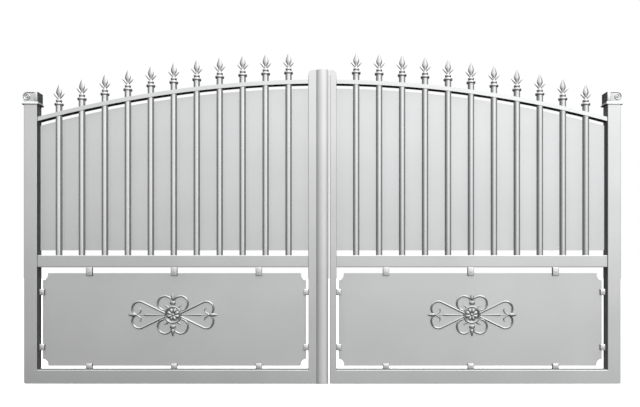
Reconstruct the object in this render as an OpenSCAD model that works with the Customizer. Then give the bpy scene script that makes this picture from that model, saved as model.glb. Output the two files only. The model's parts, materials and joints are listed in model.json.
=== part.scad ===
// Double swing gate in aluminium: two mirrored leaves, each with a capped hinge
// stile, a meeting stile, three rails, spear-topped bars and two sheet panels.
// The origin is the centre of the lower left gudgeon plate's face on the pillar.
// X runs along the closed gate, Y runs inwards through it and Z is up.
// Heights are above the bottom edge of the leaves unless a comment says otherwise.

/* [Gate] */
// Width across both closed leaves
gate_w = 3000; // [2500:10:3600]
// Height of the arched top rail's upper edge at the middle of the gate
crown_h = 1531; // [1270:1:1850]
// Fall of the arched top rail from the middle to the hinge stiles
arch_drop = 188; // [120:1:230]
// Gap between each leaf and its pillar
pillar_gap = 14; // [12:1:17]
// Gap between the closed leaves
joint_gap = 7; // [7:1:12]

/* [Frame] */
// Depth of the stiles and the bottom rails
frame_d = 60; // [50:1:75]
// Width of a hinge stile
hinge_stile_w = 66; // [50:1:80]
// Rise of a hinge stile above the end of the top rail
hinge_stile_rise = 60; // [40:1:90]
// Width of the flat band of both meeting stiles and the joint between them
meeting_w = 142; // [118:1:170]
// Rise of the meeting stiles above the crown of the top rail
meeting_rise = 46; // [35:1:80]
// Height of the bottom rail
bottom_rail_h = 70; // [58:1:84]
// Height of the underside of the middle rail
middle_rail_z = 586; // [490:1:700]
// Height of the middle rail's section
middle_rail_h = 60; // [48:1:72]
// Height of the top rail's section
top_rail_h = 20; // [16:1:24]
// Setback of the middle and top rails from the front of the stiles
rail_setback = 8; // [4:1:10]
// Radius of the long edges of the extrusions
edge_r = 3; // [2:0.5:5]
// Radius of the leaf's lower outer corner in front view
corner_r = 10; // [4:1:14]

/* [Bars] */
// Number of bars in a leaf
bar_count = 11; // [7:1:12]
// Diameter of a bar
bar_dia = 32; // [25:0.2:40]
// Radial clearance of a bar in its hole through the top rail
bar_clearance = 0.3; // [0.2:0.1:0.6]
// Rise of a bar above the top rail
bar_rise = 35; // [20:1:50]
// Height of a finial
finial_h = 110; // [90:1:135]
// Diameter of a finial's flange
flange_dia = 45; // [39:1:55]
// Largest width of a finial's blade
blade_w = 30; // [25:1:36]
// Width across a finial's two barbs
barb_span = 58; // [48:1:70]

/* [Panels] */
// Thickness of the sheet panels
panel_t = 2; // [1.5:0.5:3]
// Clearance between the bars and the upper panel
panel_clearance = 1; // [0.5:0.5:3]
// Slit between the middle rail and the upper panel
upper_panel_slit = 26; // [10:1:40]
// Slit between the upper panel and the top rail
top_slit = 15; // [8:1:25]
// Gap between the lower panel and the stiles
lower_side_gap = 11; // [6:1:15]
// Gap between the lower panel and the bottom rail
lower_bottom_gap = 14; // [8:1:20]
// Gap between the lower panel and the middle rail
lower_top_gap = 30; // [15:1:36]
// Radius of the concave corners of the lower panel
notch_r = 27; // [20:1:35]
// Straight step below each concave corner
notch_step = 8; // [4:1:12]
// Length of a panel clip
clip_l = 32; // [26:1:40]
// Thickness of a panel clip in front of the panel
clip_t = 18; // [12:1:22]
// Overlap of a panel clip on the panel
clip_lap = 14; // [10:1:18]
// Spacing of the clips along the top and bottom of the panel
clip_pitch = 430; // [300:10:480]
// Spacing of the clips along the sides of the panel
side_clip_pitch = 280; // [200:10:300]

/* [Rosette] */
// Height of the rosette's centre
rosette_z = 344; // [300:1:360]
// Offset of the rosette from the middle of the panel towards the hinge stile
rosette_shift = 7.5; // [0:0.5:20]
// Thickness of the cast rosette
rosette_t = 9; // [7:1:12]
// Width of a scroll's section
scroll_w = 9; // [7:0.5:11]
// Radius of the boss
boss_r = 45; // [38:1:50]
// Radius of the four inner scrolls
lobe_r = 38; // [34:1:42]
// Radius of the four outer scrolls
loop_r = 37; // [33:1:40]
// Distance from the rosette's centre to its side tips
rosette_reach = 227; // [220:1:240]
// Distance from the rosette's centre to its upper and lower tips
rosette_rise = 109; // [100:1:118]

/* [Caps] */
// Overhang of a hinge stile cap's flange past the stile
cap_flange_lip = 8; // [5:0.5:10]
// Thickness of a hinge stile cap's flange
cap_flange_t = 6; // [4:1:9]
// Overhang of a hinge stile cap's block past the stile
cap_lip = 4.5; // [1:0.5:5]
// Height of a hinge stile cap
cap_h = 64; // [50:1:75]
// Radius of the scroll on a hinge stile cap
cap_scroll_r = 24; // [15:1:28]
// Height of a meeting stile cap
meeting_cap_h = 30; // [28:1:36]
// Radius of a meeting stile cap's outer corner
meeting_cap_r = 24; // [18:1:28]
// Width of the half-round cover strip
strip_w = 62; // [50:1:74]
// Projection of the cover strip in front of the stile
strip_t = 12; // [8:1:16]

/* [Hinges] */
// Height of the lower hinges
lower_hinge_z = 220; // [180:1:260]
// Drop of the upper hinges below the top of the hinge stiles
upper_hinge_drop = 223; // [160:1:400]
// Gap between a knuckle and the wall plate behind it
wall_gap = 2; // [1:0.5:5]
// Radius of a knuckle and of a gudgeon's lug
knuckle_r = 12; // [10:0.2:15]
// Height of a knuckle
knuckle_h = 50; // [40:1:60]
// Radius of a gudgeon's pin
pin_r = 7.5; // [6:0.5:8]
// Radial clearance of a pin in its knuckle
pin_clearance = 0.08; // [0.04:0.01:0.1]
// Gap between a knuckle and the lug that carries it
lug_gap = 1; // [0.5:0.5:2]
// Height of a gudgeon's lug
lug_h = 14; // [12:1:18]
// Length of the pin above its knuckle
pin_end = 5; // [2:1:10]
// Thickness of a hinge strap on the back of the stile
strap_t = 6; // [4:1:8]
// Distance from the edges of the stile to its hinge straps
strap_inset = 4; // [3:1:8]
// Height of a hinge strap
strap_h = 80; // [70:1:110]
// Width of a gudgeon's wall plate
plate_w = 70; // [66:1:84]
// Height of a gudgeon's wall plate
plate_h = 110; // [104:1:130]
// Thickness of a gudgeon's wall plate
plate_t = 6; // [4:1:6]
// Spacing of the wall bolts across the plate
bolt_y = 48; // [44:1:54]
// Spacing of the wall bolts up the plate
bolt_z = 80; // [76:1:88]
// Radius of the wall bolt holes
bolt_r = 5.5; // [4:0.5:6]

/* [Hidden] */
$fn = 64;
ARCH_FN = 256;
OVER = 1; // how far a cutter runs past what it cuts

ALUMINIUM = [0.72, 0.73, 0.74];
BRIGHT = [0.82, 0.83, 0.84];
SHEET = [0.66, 0.67, 0.69];
CAST = [0.60, 0.61, 0.63];
STEEL = [0.45, 0.46, 0.48];

// Proportions of a finial, as shares of its height, blade width or barb span
FLANGE_SHARE = 0.11;
RING_SHARES = [0.17, 0.26];
NECK_SHARES = [0.28, 0.45];
BLADE_T_SHARE = 0.4;
BARB_T_SHARE = 0.25;
BLADE_HALF = [[0.15, 0.32], [0.34, 0.48], [0.5, 0.66], [0.28, 0.86], [0, 1]];
BARB_HALF = [[0, 0.28], [0.28, 0.43], [0.5, 0.57], [0.22, 0.48], [0, 0.4]];

// Proportions of the rosette
LOBE_INSET = [2, 14]; // inner scroll centres past the scroll's and the boss's radius
LOOP_INSET = [21, 8]; // outer scroll centres inside the side tips and the scroll's radius
LOOP_BAR_ANGLE = 20;
SIDE_DROP_L = 36;
END_DROP_L = 30;
STEM_SHARE = 1.6;
BOSS_TAPER = 0.72;

opening_w = gate_w + 2 * pillar_gap;
half_w = gate_w / 2;
rail_d = frame_d - 2 * rail_setback;
clear_w = half_w - hinge_stile_w - meeting_w / 2;
wide_stile_w = (meeting_w + strip_w) / 2;
narrow_stile_w = (meeting_w - strip_w) / 2 - joint_gap;

arch_chord = half_w - hinge_stile_w;
arch_r = (arch_chord * arch_chord + arch_drop * arch_drop) / (2 * arch_drop);
arch_centre = [half_w, crown_h - arch_r];
hinge_stile_h = crown_h - arch_drop + hinge_stile_rise;
upper_hinge_z = hinge_stile_h - upper_hinge_drop;
axis_x = plate_t + wall_gap + knuckle_r;
axis_back = strap_t + knuckle_r;
meeting_stile_h = crown_h + meeting_rise;
middle_rail_top = middle_rail_z + middle_rail_h;

bar_y = frame_d / 2;
bar_gap = (clear_w - bar_count * bar_dia) / (bar_count + 1);
bar_x = [for (i = [0:bar_count - 1]) hinge_stile_w + bar_gap + bar_dia / 2 + i * (bar_gap + bar_dia)];

panel_y = bar_y + bar_dia / 2 + panel_clearance;
lower_panel_z = bottom_rail_h + lower_bottom_gap;
lower_panel_top = middle_rail_z - lower_top_gap;
lower_panel_mid = (lower_panel_z + lower_panel_top) / 2;
leaf_mid = hinge_stile_w + clear_w / 2;

// Height of the top rail's upper edge at distance x from the leaf's outer face
function rail_top(x) = arch_centre[1] + sqrt(arch_r * arch_r - (half_w - x) * (half_w - x));

// One leaf's own frame: x from its outer face, y from its front, z from its bottom
module left_leaf_place() {
    translate([pillar_gap, -axis_back - frame_d, -lower_hinge_z]) children();
}

module right_side() {
    translate([opening_w, 0, 0]) mirror([1, 0, 0]) children();
}

module right_leaf_place() {
    right_side() left_leaf_place() children();
}

// Extrudes a front-view outline from depth y0 to depth y1
module slab(y0, y1) {
    translate([0, y1, 0]) rotate([90, 0, 0]) linear_extrude(y1 - y0) children();
}

// Rectangle with round corners, its lower left corner at the origin
module round_rect(w, d, r) {
    translate([r, 0]) square([w - 2 * r, d]);
    translate([0, r]) square([w, d - 2 * r]);
    for (x = [r, w - r], y = [r, d - r]) translate([x, y]) circle(r);
}

// Rail of the given depth and height running along X from the origin
module rail(length, d, h) {
    rotate([90, 0, 90]) linear_extrude(length) round_rect(d, h, edge_r);
}

// Rounds off the leaf's lower outer corner
module corner_cut() {
    slab(-OVER, frame_d + OVER) difference() {
        translate([-OVER, -OVER]) square(corner_r + OVER);
        translate([corner_r, corner_r]) circle(corner_r);
    }
}

module hinge_stile() {
    color(ALUMINIUM) difference() {
        linear_extrude(hinge_stile_h) round_rect(hinge_stile_w, frame_d, edge_r);
        slab(-OVER, frame_d + OVER) polygon([
            [0, 0], [hinge_stile_w, bottom_rail_h], [hinge_stile_w + OVER, bottom_rail_h],
            [hinge_stile_w + OVER, -OVER], [0, -OVER]]);
        corner_cut();
    }
}

// Meeting stile of width w, mitred into the bottom rail
module meeting_stile(w) {
    x0 = hinge_stile_w + clear_w;
    color(ALUMINIUM) difference() {
        translate([x0, 0, 0]) linear_extrude(meeting_stile_h - meeting_cap_h)
            round_rect(w, frame_d, edge_r);
        slab(-OVER, frame_d + OVER) polygon([
            [x0 + w, 0], [x0, bottom_rail_h], [x0 - OVER, bottom_rail_h],
            [x0 - OVER, -OVER], [x0 + w, -OVER]]);
    }
}

module bottom_rail(stile_w) {
    x1 = hinge_stile_w + clear_w;
    color(ALUMINIUM) difference() {
        intersection() {
            rail(x1 + stile_w, frame_d, bottom_rail_h);
            slab(0, frame_d) polygon([
                [0, 0], [x1 + stile_w, 0], [x1, bottom_rail_h], [hinge_stile_w, bottom_rail_h]]);
        }
        corner_cut();
    }
}

module middle_rail() {
    color(ALUMINIUM) translate([hinge_stile_w, rail_setback, middle_rail_z])
        rail(clear_w, rail_d, middle_rail_h);
}

module top_rail() {
    hole_reach = 3 * top_rail_h;
    color(ALUMINIUM) difference() {
        slab(rail_setback, rail_setback + rail_d) intersection() {
            translate(arch_centre) difference() {
                circle(arch_r, $fn = ARCH_FN);
                circle(arch_r - top_rail_h, $fn = ARCH_FN);
            }
            translate([hinge_stile_w, 0]) square([clear_w, crown_h + OVER]);
        }
        for (x = bar_x) translate([x, bar_y, rail_top(x) - hole_reach])
            cylinder(d = bar_dia + 2 * bar_clearance, h = 2 * hole_reach);
    }
}

module bars() {
    color(BRIGHT) for (x = bar_x) translate([x, bar_y, middle_rail_top])
        cylinder(d = bar_dia, h = rail_top(x) + bar_rise - middle_rail_top);
}

// Round flange, neck and small ring that seat a blade on its bar
module finial_turning() {
    cylinder(d = flange_dia, h = FLANGE_SHARE * finial_h);
    cylinder(r = NECK_SHARES[0] * blade_w, h = NECK_SHARES[1] * finial_h);
    translate([0, 0, RING_SHARES[0] * finial_h])
        cylinder(d = blade_w, h = (RING_SHARES[1] - RING_SHARES[0]) * finial_h);
}

module finial() {
    blade_t = BLADE_T_SHARE * blade_w;
    barb_t = BARB_T_SHARE * blade_w;
    finial_turning();
    for (s = [-1, 1]) {
        slab(-blade_t / 2, blade_t / 2) polygon(concat(
            [[0, BLADE_HALF[0][1] * finial_h]],
            [for (p = BLADE_HALF) [s * p[0] * blade_w, p[1] * finial_h]]));
        slab(-barb_t / 2, barb_t / 2)
            polygon([for (p = BARB_HALF) [s * p[0] * barb_span, p[1] * finial_h]]);
    }
}

module finials() {
    color(BRIGHT) for (x = bar_x) translate([x, bar_y, rail_top(x) + bar_rise]) finial();
}

module upper_panel() {
    color(SHEET) slab(panel_y, panel_y + panel_t) intersection() {
        translate(arch_centre) circle(arch_r - top_rail_h - top_slit, $fn = ARCH_FN);
        translate([hinge_stile_w, middle_rail_top + upper_panel_slit]) square([clear_w, crown_h]);
    }
}

// Concave corner of the lower panel, cut towards +x and +y from the origin
module notch() {
    translate([-OVER, -OVER]) square([notch_r + OVER, notch_step + OVER]);
    translate([0, notch_step]) circle(notch_r);
}

module lower_panel() {
    w = clear_w - 2 * lower_side_gap;
    h = lower_panel_top - lower_panel_z;
    color(SHEET) slab(panel_y, panel_y + panel_t)
        translate([hinge_stile_w + lower_side_gap, lower_panel_z]) difference() {
            square([w, h]);
            notch();
            translate([w, 0]) mirror([1, 0]) notch();
            translate([0, h]) mirror([0, 1]) notch();
            translate([w, h]) mirror([1, 0]) mirror([0, 1]) notch();
        }
}

module panel_clips() {
    y0 = panel_y - clip_t;
    bottom_l = lower_bottom_gap + clip_lap;
    top_l = lower_top_gap + clip_lap;
    side_l = lower_side_gap + clip_lap;
    color(CAST) {
        for (i = [-1:1]) translate([leaf_mid + i * clip_pitch - clip_l / 2, y0, 0]) {
            translate([0, 0, bottom_rail_h]) cube([clip_l, clip_t, bottom_l]);
            translate([0, 0, middle_rail_z - top_l]) cube([clip_l, clip_t, top_l]);
        }
        for (s = [-1, 1]) translate([0, y0, lower_panel_mid + s * side_clip_pitch / 2 - clip_l / 2]) {
            translate([hinge_stile_w, 0, 0]) cube([side_l, clip_t, clip_l]);
            translate([hinge_stile_w + clear_w - side_l, 0, 0]) cube([side_l, clip_t, clip_l]);
        }
    }
}

// Straight scroll bar between two points of a front-view outline
module stroke(p, q, w) {
    d = q - p;
    translate(p) rotate(atan2(d[1], d[0])) translate([0, -w / 2]) square([norm(d), w]);
}

// Ring of the scroll section around a centre line of radius r
module scroll_ring(r) {
    difference() {
        circle(r + scroll_w / 2);
        circle(r - scroll_w / 2);
    }
}

// Pointed drop with its round end at the origin and its tip at distance l along x
module drop(r, l) {
    t = acos(r / l);
    circle(r);
    polygon([[r * cos(t), r * sin(t)], [l, 0], [r * cos(t), -r * sin(t)]]);
}

module rosette_outline() {
    lobe = [lobe_r + LOBE_INSET[0], boss_r + LOBE_INSET[1]];
    loop = [rosette_reach - loop_r - LOOP_INSET[0], loop_r - LOOP_INSET[1]];
    side_x = rosette_reach - SIDE_DROP_L;
    end_z = rosette_rise - END_DROP_L;
    circle(boss_r);
    for (sx = [0, 1]) mirror([sx, 0]) for (sy = [0, 1]) mirror([0, sy]) {
        translate(lobe) scroll_ring(lobe_r);
        translate(loop) scroll_ring(loop_r);
        stroke([0, 0], loop + loop_r * [-sin(LOOP_BAR_ANGLE), cos(LOOP_BAR_ANGLE)], scroll_w);
    }
    for (a = [0, 180]) rotate(a) {
        stroke([0, 0], [side_x, 0], scroll_w);
        translate([side_x, 0]) drop(scroll_w, SIDE_DROP_L);
        rotate(90) stroke([0, 0], [end_z, 0], STEM_SHARE * scroll_w);
        rotate(90) translate([end_z, 0]) drop(scroll_w, END_DROP_L);
    }
}

module rosette() {
    color(CAST) translate([leaf_mid - rosette_shift, 0, rosette_z]) {
        slab(panel_y - rosette_t, panel_y) rosette_outline();
        translate([0, panel_y - rosette_t, 0]) rotate([90, 0, 0])
            cylinder(r1 = boss_r, r2 = BOSS_TAPER * boss_r, h = rosette_t);
    }
}

module stile_cap() {
    w = hinge_stile_w + 2 * cap_lip;
    color(BRIGHT) translate([0, 0, hinge_stile_h]) {
        translate([-cap_flange_lip, -cap_flange_lip, 0]) linear_extrude(cap_flange_t)
            round_rect(hinge_stile_w + 2 * cap_flange_lip, frame_d + 2 * cap_flange_lip, edge_r);
        translate([-cap_lip, 0, 0]) slab(-cap_lip, frame_d + cap_lip) {
            square([w, cap_h - cap_scroll_r]);
            translate([cap_scroll_r, 0]) square([w - cap_scroll_r, cap_h]);
            translate([cap_scroll_r, cap_h - cap_scroll_r]) circle(cap_scroll_r);
        }
    }
}

module meeting_cap(w) {
    color(BRIGHT) translate([hinge_stile_w + clear_w, 0, meeting_stile_h - meeting_cap_h])
        slab(0, frame_d) difference() {
            square([w, meeting_cap_h]);
            difference() {
                translate([-OVER, meeting_cap_h - meeting_cap_r]) square(meeting_cap_r + OVER);
                translate([meeting_cap_r, meeting_cap_h - meeting_cap_r]) circle(meeting_cap_r);
            }
        }
}

// Half-round strip on the wide meeting stile, centred on the closed gate
module cover_strip() {
    strip_r = (strip_w * strip_w / 4 + strip_t * strip_t) / (2 * strip_t);
    color(BRIGHT) translate([half_w, 0, 0]) linear_extrude(meeting_stile_h) intersection() {
        translate([0, strip_r - strip_t]) circle(strip_r, $fn = 2 * $fn);
        translate([-strip_w, -strip_w]) square([2 * strip_w, strip_w]);
    }
}

// Leaf side of a hinge, in the frame of its gudgeon plate
module leaf_hinge() {
    color(STEEL) difference() {
        union() {
            translate([axis_x, 0, -knuckle_h / 2]) cylinder(r = knuckle_r, h = knuckle_h);
            translate([axis_x, -knuckle_r, -knuckle_h / 2]) cube([knuckle_r, knuckle_r, knuckle_h]);
            translate([pillar_gap + strap_inset, -axis_back, -knuckle_h / 2])
                cube([hinge_stile_w - 2 * strap_inset, strap_t, strap_h]);
        }
        translate([axis_x, 0, -knuckle_h / 2 - OVER])
            cylinder(r = pin_r + pin_clearance, h = knuckle_h + 2 * OVER);
    }
}

// Wall plate, lug and pin that carry a knuckle
module gudgeon() {
    lug_z = -knuckle_h / 2 - lug_gap - lug_h;
    pin_l = lug_h + lug_gap + knuckle_h + pin_end;
    color(STEEL) difference() {
        union() {
            translate([0, -plate_w / 2, -plate_h / 2]) cube([plate_t, plate_w, plate_h]);
            translate([0, -knuckle_r, lug_z]) cube([axis_x, 2 * knuckle_r, lug_h]);
            translate([axis_x, 0, lug_z]) cylinder(r = knuckle_r, h = lug_h);
            translate([axis_x, 0, lug_z]) cylinder(r = pin_r, h = pin_l);
        }
        for (y = [-bolt_y / 2, bolt_y / 2], z = [-bolt_z / 2, bolt_z / 2])
            translate([-OVER, y, z]) rotate([0, 90, 0]) cylinder(r = bolt_r, h = plate_t + 2 * OVER);
    }
}

module at_upper_hinge() {
    translate([0, 0, upper_hinge_z - lower_hinge_z]) children();
}

left_leaf_place() hinge_stile();  // left_hinge_stile
left_leaf_place() meeting_stile(wide_stile_w);  // left_meeting_stile
left_leaf_place() bottom_rail(wide_stile_w);  // left_bottom_rail
left_leaf_place() middle_rail();  // left_middle_rail
left_leaf_place() top_rail();  // left_top_rail
left_leaf_place() bars();  // left_bars
left_leaf_place() finials();  // left_finials
left_leaf_place() upper_panel();  // left_upper_panel
left_leaf_place() lower_panel();  // left_lower_panel
left_leaf_place() panel_clips();  // left_panel_clips
left_leaf_place() rosette();  // left_rosette
left_leaf_place() stile_cap();  // left_stile_cap
left_leaf_place() meeting_cap(wide_stile_w);  // left_meeting_cap
leaf_hinge();  // left_lower_hinge
at_upper_hinge() leaf_hinge();  // left_upper_hinge
left_leaf_place() cover_strip();

right_leaf_place() hinge_stile();  // right_hinge_stile
right_leaf_place() meeting_stile(narrow_stile_w);  // right_meeting_stile
right_leaf_place() bottom_rail(narrow_stile_w);  // right_bottom_rail
right_leaf_place() middle_rail();  // right_middle_rail
right_leaf_place() top_rail();  // right_top_rail
right_leaf_place() bars();  // right_bars
right_leaf_place() finials();  // right_finials
right_leaf_place() upper_panel();  // right_upper_panel
right_leaf_place() lower_panel();  // right_lower_panel
right_leaf_place() panel_clips();  // right_panel_clips
right_leaf_place() rosette();  // right_rosette
right_leaf_place() stile_cap();  // right_stile_cap
right_leaf_place() meeting_cap(narrow_stile_w);  // right_meeting_cap
right_side() leaf_hinge();  // right_lower_hinge
right_side() at_upper_hinge() leaf_hinge();  // right_upper_hinge

gudgeon();  // left_lower_gudgeon
at_upper_hinge() gudgeon();  // left_upper_gudgeon
right_side() gudgeon();  // right_lower_gudgeon
right_side() at_upper_hinge() gudgeon();  // right_upper_gudgeon
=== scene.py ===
"""Looks of the aluminium double swing gate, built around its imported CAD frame.

Everything is in metres in the frame's own axes: X along the closed gate, Y inwards, Z up.
"""

import json
import math

import bmesh
import bpy
from mathutils import Matrix, Vector

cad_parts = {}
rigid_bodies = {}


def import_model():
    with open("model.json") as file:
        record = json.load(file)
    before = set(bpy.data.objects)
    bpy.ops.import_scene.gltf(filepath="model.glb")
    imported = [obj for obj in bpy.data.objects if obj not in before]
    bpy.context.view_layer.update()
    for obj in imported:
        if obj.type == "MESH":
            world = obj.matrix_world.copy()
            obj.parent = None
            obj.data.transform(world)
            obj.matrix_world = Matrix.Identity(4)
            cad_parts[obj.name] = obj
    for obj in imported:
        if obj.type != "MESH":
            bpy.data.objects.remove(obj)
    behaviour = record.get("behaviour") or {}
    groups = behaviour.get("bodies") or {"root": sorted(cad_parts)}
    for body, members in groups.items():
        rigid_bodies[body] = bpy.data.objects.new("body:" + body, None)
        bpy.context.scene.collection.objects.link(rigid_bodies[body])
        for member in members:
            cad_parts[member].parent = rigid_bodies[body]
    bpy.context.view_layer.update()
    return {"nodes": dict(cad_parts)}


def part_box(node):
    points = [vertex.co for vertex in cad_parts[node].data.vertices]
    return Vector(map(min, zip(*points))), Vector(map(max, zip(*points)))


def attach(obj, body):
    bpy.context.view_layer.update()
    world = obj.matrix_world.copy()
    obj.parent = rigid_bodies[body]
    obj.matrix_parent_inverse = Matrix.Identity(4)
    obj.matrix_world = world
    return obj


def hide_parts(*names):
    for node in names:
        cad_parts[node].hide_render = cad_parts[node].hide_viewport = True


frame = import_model()

MM = 0.001
SIDES = ("left", "right")
Y_AXIS = Vector((0, 1, 0))


# ---------------------------------------------------------------- places

def solids(node):
    """Box of each separate solid of a CAD node, from left to right."""
    bm = bmesh.new()
    bm.from_mesh(frame["nodes"][node].data)
    bmesh.ops.remove_doubles(bm, verts=bm.verts, dist=0.01 * MM)
    seen = set()
    boxes = []
    for start in bm.verts:
        if start in seen:
            continue
        island = [start]
        seen.add(start)
        for vert in island:
            for edge in vert.link_edges:
                other = edge.other_vert(vert)
                if other not in seen:
                    seen.add(other)
                    island.append(other)
        low = Vector([min(v.co[i] for v in island) for i in range(3)])
        high = Vector([max(v.co[i] for v in island) for i in range(3)])
        boxes.append((low, high))
    bm.free()
    return sorted(boxes, key=lambda box: (round(box[0].x, 4), box[0].z))


class Leaf:
    """One leaf's own frame: x from its outer face to the joint, y from its front, z from its bottom."""

    def __init__(self, side):
        self.side = side
        self.body = side + "_leaf"
        self.sign = 1 if side == "left" else -1
        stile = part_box(side + "_hinge_stile")
        self.outer = stile[0].x if side == "left" else stile[1].x
        self.front = stile[0].y
        self.back = stile[1].y
        self.stile_w = stile[1].x - stile[0].x
        self.stile_top = stile[1].z
        self.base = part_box(side + "_bottom_rail")[0].z

    def at(self, x, y, z):
        return Vector((self.outer + self.sign * x, self.front + y, self.base + z))


LEAVES = {side: Leaf(side) for side in SIDES}
GATE_MID = (LEAVES["left"].outer + LEAVES["right"].outer) / 2
BASE = LEAVES["left"].base


# ---------------------------------------------------------------- mesh tools

def skin(bm, rings):
    """Faces between rings of the same number of points, with both ends closed."""
    verts = [[bm.verts.new(p) for p in ring] for ring in rings]
    count = len(rings[0])
    for a, b in zip(verts, verts[1:]):
        for i in range(count):
            j = (i + 1) % count
            bm.faces.new((a[i], a[j], b[j], b[i]))
    bm.faces.new(verts[0])
    bm.faces.new(verts[-1])


def lathe(bm, origin, axis, profile, segments=40):
    """Solid of revolution; the profile is (radius, height along the axis) from end to end."""
    axis = Vector(axis).normalized()
    side = axis.orthogonal().normalized()
    across = axis.cross(side)
    turns = [2 * math.pi * i / segments for i in range(segments)]
    rings = []
    for radius, height in profile:
        centre = origin + axis * height
        rings.append([centre + side * radius * math.cos(t) + across * radius * math.sin(t) for t in turns])
    skin(bm, rings)


def tube(bm, path, half_w, half_d, sides=12, power=1.0):
    """Bar of oval section along a path in a plane of constant y; the two half sizes may be lists."""
    count = len(path)
    widths = half_w if isinstance(half_w, (list, tuple)) else [half_w] * count
    depths = half_d if isinstance(half_d, (list, tuple)) else [half_d] * count
    rings = []
    for i, point in enumerate(path):
        tangent = (path[min(i + 1, count - 1)] - path[max(i - 1, 0)]).normalized()
        normal = Y_AXIS.cross(tangent)
        ring = []
        for k in range(sides):
            angle = 2 * math.pi * k / sides
            u = math.copysign(abs(math.cos(angle)) ** power, math.cos(angle))
            v = math.copysign(abs(math.sin(angle)) ** power, math.sin(angle))
            ring.append(point + normal * widths[i] * u + Y_AXIS * depths[i] * v)
        rings.append(ring)
    skin(bm, rings)


def smooth_path(points, steps=6):
    """Catmull-Rom curve through the points."""
    ends = [points[0] * 2 - points[1]] + list(points) + [points[-1] * 2 - points[-2]]
    out = []
    for i in range(1, len(ends) - 2):
        a, b, c, d = ends[i - 1:i + 3]
        for k in range(steps):
            t = k / steps
            out.append(0.5 * (2 * b + (c - a) * t + (2 * a - 5 * b + 4 * c - d) * t * t
                              + (3 * b - a - 3 * c + d) * t ** 3))
    out.append(points[-1])
    return out


def spread(values, steps=6):
    """The same number of values as smooth_path gives points, linear between the given ones."""
    out = []
    for a, b in zip(values, values[1:]):
        out += [a + (b - a) * k / steps for k in range(steps)]
    return out + [values[-1]]


def block(bm, corner_a, corner_b, bevel, segments=3):
    """Box between two corners with rounded edges."""
    low = Vector([min(a, b) for a, b in zip(corner_a, corner_b)])
    high = Vector([max(a, b) for a, b in zip(corner_a, corner_b)])
    size = high - low
    matrix = Matrix.Translation((low + high) / 2) @ Matrix.Diagonal((*size, 1))
    made = bmesh.ops.create_cube(bm, size=1, matrix=matrix)["verts"]
    edges = list({e for v in made for e in v.link_edges})
    bmesh.ops.bevel(bm, geom=edges, offset=min(bevel, 0.45 * min(size)), segments=segments,
                    profile=0.5, affect="EDGES")


def prism(bm, outline, y0, y1, bevel):
    """Outline in a plane of constant y, extruded from y0 to y1 with rounded rims."""
    rings = [[Vector((p.x, y, p.z)) for p in outline] for y in (y0, y1)]
    before = set(bm.edges)
    skin(bm, rings)
    rims = [e for e in set(bm.edges) - before if abs(e.verts[0].co.y - e.verts[1].co.y) < 1e-6]
    bmesh.ops.bevel(bm, geom=rims, offset=bevel, segments=3, profile=0.5, affect="EDGES")


def piece(name, build, material, body, replaced=()):
    """Makes one closed piece, its place fixed by the builder function, riding on a CAD body."""
    bm = bmesh.new()
    build(bm)
    bmesh.ops.recalc_face_normals(bm, faces=bm.faces)
    mesh = bpy.data.meshes.new(name)
    bm.to_mesh(mesh)
    bm.free()
    mesh.shade_smooth()
    mesh.set_sharp_from_angle(angle=math.radians(40))
    mesh.materials.append(material)
    obj = bpy.data.objects.new(name, mesh)
    bpy.context.scene.collection.objects.link(obj)
    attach(obj, body)
    if replaced:
        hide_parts(*replaced)
    return obj


# ---------------------------------------------------------------- materials

def metal(name, colour, roughness, grain=(1, 1, 1), grain_depth=0.02, mottle=0.04, scale=1.0, sheen=0.9):
    """Satin metal: a soft mottle in the colour, and a fine grain in its gloss and bump."""
    material = bpy.data.materials.new(name)
    material.use_nodes = True
    nodes = material.node_tree.nodes
    link = material.node_tree.links.new
    shader = nodes["Principled BSDF"]
    shader.inputs["Metallic"].default_value = sheen

    coords = nodes.new("ShaderNodeTexCoord")
    stretch = nodes.new("ShaderNodeMapping")
    stretch.inputs["Scale"].default_value = grain
    link(coords.outputs["Object"], stretch.inputs["Vector"])

    fine = nodes.new("ShaderNodeTexNoise")
    fine.inputs["Scale"].default_value = 320 * scale
    fine.inputs["Detail"].default_value = 3
    link(stretch.outputs["Vector"], fine.inputs["Vector"])

    cloud = nodes.new("ShaderNodeTexNoise")
    cloud.inputs["Scale"].default_value = 3.5 * scale
    cloud.inputs["Detail"].default_value = 4
    link(coords.outputs["Object"], cloud.inputs["Vector"])

    tint = nodes.new("ShaderNodeValToRGB")
    tint.color_ramp.elements[0].position = 0.3
    tint.color_ramp.elements[0].color = (*[c * (1 - mottle) for c in colour], 1)
    tint.color_ramp.elements[1].position = 0.7
    tint.color_ramp.elements[1].color = (*[min(1, c * (1 + mottle)) for c in colour], 1)
    link(cloud.outputs["Fac"], tint.inputs["Fac"])
    link(tint.outputs["Color"], shader.inputs["Base Color"])

    gloss = nodes.new("ShaderNodeMapRange")
    gloss.inputs["To Min"].default_value = roughness - 0.05
    gloss.inputs["To Max"].default_value = roughness + 0.05
    link(fine.outputs["Fac"], gloss.inputs["Value"])
    link(gloss.outputs["Result"], shader.inputs["Roughness"])

    bump = nodes.new("ShaderNodeBump")
    bump.inputs["Strength"].default_value = grain_depth
    bump.inputs["Distance"].default_value = 0.2 * MM
    link(fine.outputs["Fac"], bump.inputs["Height"])
    link(bump.outputs["Normal"], shader.inputs["Normal"])
    return material


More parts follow.
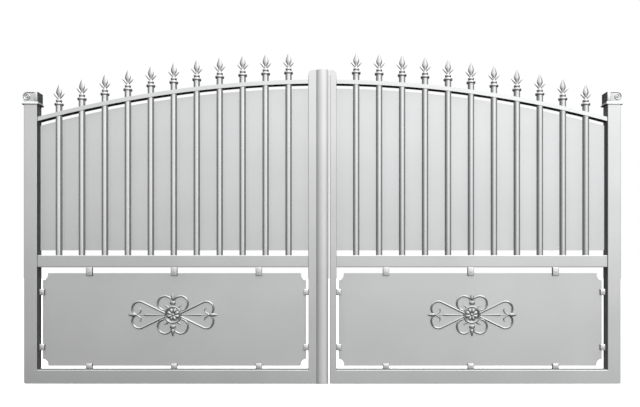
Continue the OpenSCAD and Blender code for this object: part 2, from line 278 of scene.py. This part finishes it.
UPRIGHT = (1, 1, 0.03)
LEVEL = (0.03, 1, 1)
ALUMINIUM = (0.80, 0.805, 0.81)
METALS = {
    "upright": metal("satin_extrusion_upright", ALUMINIUM, 0.30, UPRIGHT),
    "level": metal("satin_extrusion_level", ALUMINIUM, 0.30, LEVEL),
    "bar": metal("satin_round_bar", (0.84, 0.845, 0.85), 0.24, UPRIGHT, mottle=0.03),
    "sheet": metal("satin_sheet", (0.82, 0.825, 0.83), 0.36, LEVEL, grain_depth=0.03, mottle=0.025),
    "cast": metal("satin_casting", (0.80, 0.805, 0.81), 0.24, grain_depth=0.02, mottle=0.05, scale=2),
    "spear": metal("cast_spear", (0.66, 0.665, 0.67), 0.2, grain_depth=0.02, mottle=0.05, scale=2),
    "scroll": metal("cast_scroll", (0.54, 0.545, 0.55), 0.16, grain_depth=0.02, mottle=0.05, scale=2),
    "clip": metal("cast_clip", (0.93, 0.93, 0.93), 0.3, grain_depth=0.02, mottle=0.04, scale=2),
    "strip": metal("satin_cover_strip", (0.9, 0.9, 0.905), 0.5, UPRIGHT),
    "galvanised": metal("galvanised_steel", (0.52, 0.53, 0.55), 0.42, grain_depth=0.1, mottle=0.16, scale=6),
    "bolt": metal("zinc_plated_bolt", (0.62, 0.62, 0.60), 0.30, grain_depth=0.05, mottle=0.08, scale=8),
}

NODE_METALS = {
    "hinge_stile": "upright", "meeting_stile": "upright", "bottom_rail": "level", "middle_rail": "level",
    "top_rail": "bar", "bars": "bar", "upper_panel": "sheet", "lower_panel": "sheet",
    "meeting_cap": "upright", "lower_hinge": "galvanised", "upper_hinge": "galvanised",
    "lower_gudgeon": "galvanised", "upper_gudgeon": "galvanised",
}


def dress(node, material):
    """Gives a CAD node its finish."""
    slots = frame["nodes"][node].data.materials
    slots.clear()
    slots.append(material)


def dress_cad():
    for side in SIDES:
        for part, metal_name in NODE_METALS.items():
            dress(f"{side}_{part}", METALS[metal_name])
    dress("cover_strip", METALS["strip"])


# ---------------------------------------------------------------- finials

FINIAL_TURNING = [
    (0, 0), (19, 0), (21.5, 1.2), (22.5, 3.5), (22.5, 8.5), (21.4, 11), (18.5, 12.6), (14.5, 13.6),
    (13.6, 15), (13.6, 17.5), (14.6, 19), (15.4, 21), (15.4, 26), (14.6, 28.2), (11, 29.8), (8, 31.5),
    (6.4, 35), (5.6, 42), (0, 46)]
# height, half width and half thickness of the leaf-shaped blade
BLADE = [
    (33, 4.6, 4.6), (42, 5.6, 4.8), (50, 7.6, 5.2), (56, 10.6, 5.8), (61, 13.8, 6.2), (66, 15, 6.2),
    (73, 14.4, 5.8), (82, 12, 5), (91, 8.8, 4.2), (100, 5, 3), (106, 2.3, 1.8), (109.5, 0.5, 0.5)]
BARB = [(3, 34.5), (7, 40), (12, 46.5), (18, 53), (24, 58.5), (28.8, 62)]
BARB_HALF_W = [3.0, 4.6, 5.4, 4.8, 3.2, 0.6]
BARB_HALF_D = [3.4, 4.2, 4.2, 3.6, 2.4, 0.5]


def finial(bm, foot):
    """Spear on its flange and small ring, standing at foot."""
    lathe(bm, foot, (0, 0, 1), [(max(r, 0.05) * MM, h * MM) for r, h in FINIAL_TURNING], segments=32)
    tube(bm, [foot + Vector((0, 0, z * MM)) for z, w, d in BLADE],
         [w * MM for z, w, d in BLADE], [d * MM for z, w, d in BLADE], sides=16, power=1.2)
    for sign in (-1, 1):
        path = smooth_path([foot + Vector((sign * x * MM, 0, z * MM)) for x, z in BARB], steps=3)
        tube(bm, path, [w * MM for w in spread(BARB_HALF_W, 3)], [d * MM for d in spread(BARB_HALF_D, 3)],
             sides=10)


def make_finials(leaf):
    bars = solids(leaf.side + "_bars")

    def build(bm):
        for low, high in bars:
            middle = (low + high) / 2
            finial(bm, Vector((middle.x, middle.y, high.z)))

    piece(leaf.side + "_spear_finials", build, METALS["spear"], leaf.body,
          [leaf.side + "_finials"])


# ---------------------------------------------------------------- rosette

SCROLL_HALF_W = 5.1
SCROLL_HALF_D = 4.4
RIDGE = 1.5
BOSS = [
    (0.05, 0), (45.5, 0), (45.5, 4), (44.4, 7), (42, 8.8), (39.6, 9), (37.6, 7.6), (36.6, 5), (35.4, 4.2),
    (33.6, 5.4), (32.6, 4.8), (31, 2.6), (20, 2.2), (0.05, 2.2)]
CENTRE_BALL = [(0.05, 0), (7.5, 0), (7.8, 4), (7, 7), (5, 8.6), (2.5, 9.3), (0.05, 9.5)]
COLLAR = [(0.05, -9), (9, -9), (12.5, -7.5), (14.4, -4), (14.8, 0), (14.4, 4), (12.5, 7.5), (9, 9), (0.05, 9)]


def arc(centre, radius, start, end, steps=24):
    """Points on a circle in front view, angles in degrees."""
    out = []
    for i in range(steps + 1):
        angle = math.radians(start + (end - start) * i / steps)
        out.append((centre[0] + radius * math.cos(angle), centre[1] + radius * math.sin(angle)))
    return out


def tapered_ends(count, full, tip=0.35, run=4):
    """Half size along a scroll that thins over its last points."""
    return [full * (tip + (1 - tip) * min(1, (count - 1 - i) / run)) for i in range(count)]


def make_rosette(leaf):
    low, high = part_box(leaf.side + "_rosette")
    mid_x = (low.x + high.x) / 2
    mid_z = (low.z + high.z) / 2
    seat = high.y

    def place(x, z, proud):
        return Vector((mid_x + x * MM, seat - proud * MM, mid_z + z * MM))

    def scroll(bm, points, proud=4.5, half_w=SCROLL_HALF_W, half_d=SCROLL_HALF_D):
        path = [place(x, z, proud) for x, z in points]
        tube(bm, path, [w * MM for w in tapered_ends(len(path), half_w)],
             [d * MM for d in tapered_ends(len(path), half_d)], sides=16, power=RIDGE)

    def mirrored(points, sx, sz):
        return [(x * sx, z * sz) for x, z in points]

    def lobes(bm):
        ring = arc((-40, 58.5), 36.5, 262, 23, 30)
        for sx in (-1, 1):
            for sz in (-1, 1):
                scroll(bm, mirrored(ring, sx, sz))

    def loops(bm):
        centre = (170, 31.5)
        radius = 36.5
        start = (40, 9)
        tangent_angle = 111.5
        ring = arc(centre, radius, tangent_angle, -52, 26)
        tail = [(184, -0.5), (175.5, -6), (166.5, -13), (161.5, -21), (162.5, -29), (169, -35)]
        straight = [(start[0] + (ring[0][0] - start[0]) * k / 6, start[1] + (ring[0][1] - start[1]) * k / 6)
                    for k in range(6)]
        bend = smooth_path([Vector((x, 0, z)) for x, z in [ring[-1]] + tail], 4)
        points = straight + ring + [(p.x, p.z) for p in bend[1:]]
        for sx in (-1, 1):
            for sz in (-1, 1):
                path = [place(x * sx, z * sz, 4.5) for x, z in points]
                thin = len(bend) - 1
                half = [SCROLL_HALF_W] * (len(path) - thin)
                half += [SCROLL_HALF_W + (1.6 - SCROLL_HALF_W) * k / thin for k in range(1, thin + 1)]
                tube(bm, path, [w * MM for w in half], [w * MM for w in half], sides=16,
                     power=RIDGE)

    def spears(bm):
        for sx in (-1, 1):
            xs = (40, 70, 100, 125, 138, 143, 145.5)
            half = (2.6, 3.3, 4.2, 5.0, 5.4, 5.0, 2.6)
            tube(bm, [place(sx * x, 0, 4.4) for x in xs], [w * MM for w in half],
                 [0.85 * w * MM for w in half], sides=16)
            xs = (144, 150, 160, 172, 184, 190)
            half = (3.2, 2.6, 2.4, 2.8, 4.0, 5.0)
            tube(bm, [place(sx * x, 0, 3.2) for x in xs], [w * MM for w in half],
                 [w * MM for w in half], sides=12)

    def drops(bm):
        stations = (0, 0.08, 0.2, 0.34, 0.5, 0.66, 0.82, 0.94, 1.0)
        shape = (0.4, 0.8, 1.0, 1.0, 0.94, 0.78, 0.55, 0.34, 0.12)
        for sx in (-1, 1):
            tube(bm, [place(sx * (186 + 40.5 * t), 0, 6) for t in stations],
                 [9.4 * s * MM for s in shape], [6.6 * s * MM for s in shape], sides=18)
        for sz in (-1, 1):
            tube(bm, [place(0, sz * (73 + 35.5 * t), 6) for t in stations],
                 [8.8 * s * MM for s in shape], [6.6 * s * MM for s in shape], sides=18)
            for sx in (-1, 1):
                leaf_path = smooth_path([place(sx * x, sz * z, 3.4) for x, z in
                                         [(4, 70), (8.5, 73), (11.8, 78), (12.4, 84), (10.4, 89)]], 3)
                tube(bm, leaf_path, [w * MM for w in spread([3, 3, 2.6, 1.8, 0.5], 3)],
                     [d * MM for d in spread([4, 4, 3.4, 2.2, 0.5], 3)], sides=10)

    def collars(bm):
        for sz in (-1, 1):
            foot = place(0, sz * 60.5, 7)
            rings = []
            for radius, height in COLLAR:
                rings.append([foot + Vector((radius * MM * math.cos(a), 0.55 * radius * MM * math.sin(a),
                                             height * MM))
                              for a in [2 * math.pi * i / 24 for i in range(24)]])
            skin(bm, rings)
            for half_z in (-1, 1):
                path = [place(x, sz * 60.5 + half_z * 6.2, 7 + 6 * (1 - (x / 13.5) ** 2)) for x in
                        (-13, -9, -4.5, 0, 4.5, 9, 13)]
                tube(bm, path, 1.6 * MM, 1.6 * MM, sides=8)

    def horns(bm):
        points = [(23, 36), (28, 41), (33.5, 44.6), (39.5, 47.6), (46, 51.5)]
        for sx in (-1, 1):
            for sz in (-1, 1):
                path = smooth_path([place(sx * x, sz * z, 3.2) for x, z in points], 3)
                tube(bm, path, [w * MM for w in spread([5, 4.6, 3.6, 2.4, 0.5], 3)],
                     [w * MM for w in spread([4.4, 4, 3.2, 2.2, 0.5], 3)], sides=10)

    def boss(bm):
        lathe(bm, place(0, 0, 0), (0, -1, 0), [(r * MM, h * MM) for r, h in BOSS], segments=64)
        lathe(bm, place(0, 0, 1.5), (0, -1, 0), [(r * MM, h * MM) for r, h in CENTRE_BALL], segments=32)
        petals = 8
        for i in range(petals):
            angle = 2 * math.pi * (i + 0.5) / petals
            radial = Vector((math.cos(angle), 0, math.sin(angle)))
            across = Vector((-math.sin(angle), 0, math.cos(angle)))
            rings = []
            for reach, half, lift in ((7, 2.4, 3), (11, 5, 5), (17, 8.4, 6.4), (23, 10.2, 6.2), (28, 9, 4.8),
                                      (31, 6, 3.4), (32.5, 2, 2.4)):
                centre = place(0, 0, 1.8) + radial * reach * MM
                ring = []
                for k in range(12):
                    turn = 2 * math.pi * k / 12
                    crease = 1 - 0.35 * math.cos(turn) ** 2
                    ring.append(centre + across * half * MM * math.cos(turn)
                                - Y_AXIS * lift * MM * math.sin(turn) * crease * (0.2 if math.sin(turn) < 0 else 1))
                rings.append(ring)
            skin(bm, rings)

    def build(bm):
        lobes(bm)
        loops(bm)
        spears(bm)
        drops(bm)
        collars(bm)
        horns(bm)
        boss(bm)

    piece(leaf.side + "_cast_rosette", build, METALS["scroll"], leaf.body,
          [leaf.side + "_rosette"])


# ---------------------------------------------------------------- caps

def make_stile_cap(leaf):
    low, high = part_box(leaf.side + "_stile_cap")
    flange_t = 6
    flange_w = (high.x - low.x) / MM
    depth0 = (low.y - leaf.front) / MM
    depth1 = (high.y - leaf.front) / MM
    top = (high.z - low.z) / MM
    over = (flange_w - leaf.stile_w / MM) / 2
    inner = leaf.stile_w / MM + 5
    outer = 2
    face0 = depth0 + 4
    face1 = depth1 - 4
    roll = 24.5
    roll_x = 20.0
    roll_z = top - roll

    def place(x, y, z):
        return Vector((leaf.outer + leaf.sign * x * MM, leaf.front + y * MM, low.z + z * MM))

    def flange(bm):
        block(bm, place(-over, depth0, 0), place(-over + flange_w, depth1, flange_t), 1.8 * MM)

    def flare(bm):
        rings = []
        for z, grow in ((flange_t - 1, 5.5), (flange_t + 1, 4.6), (flange_t + 3, 2.6), (flange_t + 6, 0.9),
                        (flange_t + 9, 0.2), (flange_t + 11, -0.6)):
            rings.append([place(x, y, z) for x, y in (
                (outer - grow, face0 - grow), (inner + grow, face0 - grow),
                (inner + grow, face1 + grow), (outer - grow, face1 + grow))])
        skin(bm, rings)

    def body(bm):
        drop = math.sqrt(roll ** 2 - (roll_x - outer) ** 2)
        start = 180 + math.degrees(math.atan2(drop, roll_x - outer))
        outline = [(outer, flange_t + 2)] + arc((roll_x, roll_z), roll, start, 90, 28)
        outline += [(inner, top), (inner, flange_t + 2)]
        prism(bm, [place(x, 0, z) for x, z in outline], leaf.front + face0 * MM, leaf.front + face1 * MM, 1.6 * MM)

    def relief(bm, face):
        volute = []
        turns = 1.75
        steps = 64
        for i in range(steps + 1):
            t = i / steps
            radius = 21.2 - 17.6 * t ** 0.85
            angle = math.radians(90 + 360 * turns * t)
            volute.append((roll_x + radius * math.cos(angle), roll_z + radius * math.sin(angle)))
        lead = [(53, top - 3.4), (44, top - 3.3), (34, top - 3.3), (26, top - 3.3)]
        path = [place(x, face, z) for x, z in lead + volute]
        half = [3.1] * len(lead) + [3.1 - 0.9 * i / steps for i in range(steps + 1)]
        tube(bm, path, [w * MM for w in half], 3.4 * MM, sides=12, power=RIDGE)
        eye = 2 if face < leaf.stile_w / MM / 2 else -2
        lathe(bm, place(roll_x, face + eye, roll_z), (0, -1 if eye > 0 else 1, 0),
              [(0.05 * MM, 0), (3.4 * MM, 0), (3.4 * MM, 3.4 * MM), (2.2 * MM, 4.6 * MM), (0.05 * MM, 5 * MM)], 20)
        proud = -2.2 if eye > 0 else 2.2
        block(bm, place(54, face + proud, flange_t + 9), place(inner - 0.6, face - proud, top - 0.6), 1.6 * MM)

    def build(bm):
        flange(bm)
        flare(bm)
        body(bm)
        relief(bm, face0)
        relief(bm, face1)

    piece(leaf.side + "_volute_cap", build, METALS["cast"], leaf.body, [leaf.side + "_stile_cap"])


# ---------------------------------------------------------------- clips and bolts

def rivet(bm, seat, direction, radius, height):
    shape = [(0.01, -0.5), (1, -0.5), (1, 0.1), (0.92, 0.45), (0.7, 0.75), (0.4, 0.93), (0.01, 1)]
    lathe(bm, seat, direction, [(r * radius, h * height) for r, h in shape], segments=20)


def make_clips(leaf):
    boxes = solids(leaf.side + "_panel_clips")

    def build(bm):
        for low, high in boxes:
            block(bm, low, high, 3.2 * MM)
            face = Vector(((low.x + high.x) / 2, low.y, (low.z + high.z) / 2))
            rivet(bm, face, (0, -1, 0), 3.6 * MM, 1.6 * MM)

    piece(leaf.side + "_cast_clips", build, METALS["clip"], leaf.body,
          [leaf.side + "_panel_clips"])


def hexagon_bolt(bm, seat, direction, across, height):
    """Washer and chamfered hexagon head on a seat, pointing along direction."""
    direction = Vector(direction)
    lathe(bm, seat, direction, [(0.01 * MM, 0), (0.9 * across, 0), (0.92 * across, 0.8 * MM),
                                (0.88 * across, 1.4 * MM), (0.01 * MM, 1.4 * MM)], segments=28)
    side = direction.orthogonal().normalized()
    other = direction.cross(side)
    radius = across / math.sqrt(3)
    rings = []
    for grow, rise in ((1, 1.2 * MM), (1, height - 0.9 * MM), (0.86, height)):
        rings.append([seat + direction * rise + (side * math.cos(a) + other * math.sin(a)) * radius * grow
                      for a in [math.radians(60 * k) for k in range(6)]])
    skin(bm, rings)


def make_hinge_bolts(leaf):
    for level in ("lower", "upper"):
        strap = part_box(f"{leaf.side}_{level}_hinge")
        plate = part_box(f"{leaf.side}_{level}_gudgeon")
        strap_back = leaf.back + 6 * MM
        hinge_x = strap[0].x if leaf.side == "left" else strap[1].x
        plate_mid = (plate[0] + plate[1]) / 2
        wall = plate[0].x if leaf.side == "left" else plate[1].x

        def strap_bolts(bm):
            for x, z in ((22, 67), (58, 67), (58, 14)):
                seat = Vector((hinge_x + leaf.sign * x * MM, strap_back, strap[0].z + z * MM))
                hexagon_bolt(bm, seat, (0, 1, 0), 10 * MM, 6 * MM)

        def wall_bolts(bm):
            for y in (-24, 24):
                for z in (-40, 40):
                    seat = Vector((wall + leaf.sign * 6 * MM, y * MM, plate_mid.z + z * MM))
                    rivet(bm, seat, (leaf.sign, 0, 0), 8.6 * MM, 2.8 * MM)

        def pin_cap(bm):
            top = Vector((wall + leaf.sign * 20 * MM, 0, strap[0].z + 50 * MM))
            lathe(bm, top, (0, 0, 1), [(0.05 * MM, -1 * MM), (10 * MM, 0.6 * MM), (10.4 * MM, 1.4 * MM),
                                       (10.4 * MM, 3.4 * MM), (9 * MM, 5.6 * MM), (5 * MM, 7 * MM),
                                       (0.05 * MM, 7.4 * MM)], 32)

        piece(f"{leaf.side}_{level}_strap_bolts", strap_bolts, METALS["bolt"], leaf.body)
        piece(f"{leaf.side}_{level}_wall_bolts", wall_bolts, METALS["bolt"], "gudgeons")
        piece(f"{leaf.side}_{level}_pin_cap", pin_cap, METALS["galvanised"], "gudgeons")


# ---------------------------------------------------------------- studio

CAMERA_DISTANCE = 3.5
CAMERA_HEIGHT = 0.562
LENS = 39.2
SHIFT_X = -0.0037
SHIFT_Y = 0.107
GROUND_GAP = 0.05


def make_camera():
    data = bpy.data.cameras.new("camera")
    data.lens = LENS
    data.sensor_width = 36
    data.shift_x = SHIFT_X
    data.shift_y = SHIFT_Y
    camera = bpy.data.objects.new("camera", data)
    camera.location = (GATE_MID, LEAVES["left"].front - CAMERA_DISTANCE, BASE + CAMERA_HEIGHT)
    camera.rotation_euler = (math.radians(90), 0, 0)
    bpy.context.scene.collection.objects.link(camera)
    bpy.context.scene.camera = camera


def make_floor():
    bm = bmesh.new()
    bmesh.ops.create_grid(bm, x_segments=1, y_segments=1, size=60)
    mesh = bpy.data.meshes.new("floor")
    bm.to_mesh(mesh)
    bm.free()
    floor = bpy.data.objects.new("floor", mesh)
    floor.location = (GATE_MID, 0, BASE - GROUND_GAP)
    bpy.context.scene.collection.objects.link(floor)
    material = bpy.data.materials.new("pale_floor")
    material.use_nodes = True
    shader = material.node_tree.nodes["Principled BSDF"]
    shader.inputs["Base Color"].default_value = (0.9, 0.9, 0.9, 1)
    shader.inputs["Roughness"].default_value = 0.9
    shader.inputs["Specular IOR Level"].default_value = 0.1
    shader.inputs["Emission Color"].default_value = (1, 1, 1, 1)
    shader.inputs["Emission Strength"].default_value = 0.9
    mesh.materials.append(material)
    floor.visible_glossy = False
    floor.visible_diffuse = False


# share of the front's brightness against half the cosine of the angle away from it
AROUND = [(0, 1), (0.08, 1), (0.16, 0.8), (0.25, 0.4), (0.33, 0.12), (0.44, 0.13), (0.58, 0.26), (0.74, 0.26),
          (0.82, 0.1), (0.9, 0.01), (1, 0.01)]
FRONT_LEVEL = 0.64
LEVEL_RISE = 1.5
LEVEL_RANGE = (0.03, 1.7)
LOW_LEVEL = 0.3
# the same for a rear light that stays clear of what the parts' inner sides mirror to the front
REAR = [(0, 0), (0.56, 0), (0.66, 1), (0.86, 1), (0.92, 0), (1, 0)]
REAR_LEVEL = 0.5
RIGHT_RISE = 0.72
SIDE_LIMIT = 0.4


def make_world():
    """White backdrop to the camera; to the metal, a studio bright in front and dark behind and beside."""
    world = bpy.data.worlds.new("studio")
    bpy.context.scene.world = world
    world.use_nodes = True
    nodes = world.node_tree.nodes
    link = world.node_tree.links.new
    nodes.clear()
    output = nodes.new("ShaderNodeOutputWorld")
    coords = nodes.new("ShaderNodeTexCoord")

    def split(vector):
        node = nodes.new("ShaderNodeSeparateXYZ")
        link(vector, node.inputs["Vector"])
        return node.outputs

    def maths(operation, *values):
        node = nodes.new("ShaderNodeMath")
        node.operation = operation
        for slot, value in zip(node.inputs, values):
            if isinstance(value, (int, float)):
                slot.default_value = value
            else:
                link(value, slot)
        return node.outputs["Value"]

    axes = split(coords.outputs["Generated"])
    flat = nodes.new("ShaderNodeVectorMath")
    flat.operation = "MULTIPLY"
    flat.inputs[1].default_value = (1, 1, 0)
    link(coords.outputs["Generated"], flat.inputs[0])
    unit = nodes.new("ShaderNodeVectorMath")
    unit.operation = "NORMALIZE"
    link(flat.outputs["Vector"], unit.inputs[0])
    turn = maths("MULTIPLY_ADD", split(unit.outputs["Vector"])["Y"], 0.5, 0.5)

    def share_ramp(table):
        node = nodes.new("ShaderNodeValToRGB")
        link(turn, node.inputs["Fac"])
        stops = node.color_ramp.elements
        while len(stops) < len(table):
            stops.new(0.5)
        for stop, (place, share) in zip(stops, table):
            stop.position = place
            stop.color = (share, share, share, 1)
        return node.outputs["Color"]

    around = share_ramp(AROUND)
    above_ground = maths("MINIMUM", maths("MAXIMUM", maths("MULTIPLY_ADD", axes["Z"], 5, 3.5), 0), 1)
    rising = maths("MULTIPLY_ADD", axes["Z"], LEVEL_RISE, FRONT_LEVEL)
    rising = maths("MAXIMUM", rising, maths("MULTIPLY", above_ground, LOW_LEVEL))
    rising = maths("MINIMUM", maths("MAXIMUM", rising, LEVEL_RANGE[0]), LEVEL_RANGE[1])
    across = maths("MINIMUM", maths("MAXIMUM", axes["X"], -SIDE_LIMIT), SIDE_LIMIT)
    level = maths("MULTIPLY", rising, maths("MULTIPLY_ADD", across, RIGHT_RISE, 1))
    overhead = maths("MULTIPLY_ADD", axes["Z"], 2.5, -0.875)
    overhead = maths("MINIMUM", maths("MAXIMUM", overhead, 0), 1)
    level = maths("MULTIPLY", level, maths("MAXIMUM", around, overhead))
    below_eye = maths("MINIMUM", maths("MAXIMUM", maths("MULTIPLY_ADD", axes["Z"], -8, -1), 0), 1)
    rear = maths("MULTIPLY", maths("MULTIPLY", above_ground, below_eye), share_ramp(REAR))
    rear = maths("MULTIPLY", rear, REAR_LEVEL)
    level = maths("MAXIMUM", level, rear)

    studio = nodes.new("ShaderNodeBackground")
    link(level, studio.inputs["Strength"])
    studio.inputs["Color"].default_value = (1, 1, 1, 1)
    backdrop = nodes.new("ShaderNodeBackground")
    backdrop.inputs["Strength"].default_value = 1.0
    backdrop.inputs["Color"].default_value = (1, 1, 1, 1)
    path = nodes.new("ShaderNodeLightPath")
    mix = nodes.new("ShaderNodeMixShader")
    link(path.outputs["Is Camera Ray"], mix.inputs["Fac"])
    link(studio.outputs["Background"], mix.inputs[1])
    link(backdrop.outputs["Background"], mix.inputs[2])
    link(mix.outputs["Shader"], output.inputs["Surface"])


def softbox(name, location, target, size, power):
    data = bpy.data.lights.new(name, "AREA")
    data.shape = "RECTANGLE"
    data.size = size[0]
    data.size_y = size[1]
    data.energy = power
    light = bpy.data.objects.new(name, data)
    light.location = location
    light.visible_glossy = False
    light.rotation_euler = (Vector(target) - Vector(location)).to_track_quat("-Z", "Y").to_euler()
    bpy.context.scene.collection.objects.link(light)


def make_lights():
    middle = Vector((GATE_MID, 0, BASE + 0.9))
    softbox("key", middle + Vector((-4.2, -5.2, 2.8)), middle, (1.0, 1.0), 150)


for leaf in LEAVES.values():
    make_finials(leaf)
    make_rosette(leaf)
    make_stile_cap(leaf)
    make_clips(leaf)
    make_hinge_bolts(leaf)
dress_cad()
make_floor()
make_world()
make_lights()
make_camera()
# the metal mirrors the studio only, so that neighbouring parts leave no streaks on the satin sheets
for obj in bpy.context.scene.objects:
    if obj.type == "MESH":
        obj.visible_glossy = False
bpy.context.scene.view_settings.view_transform = "Standard"
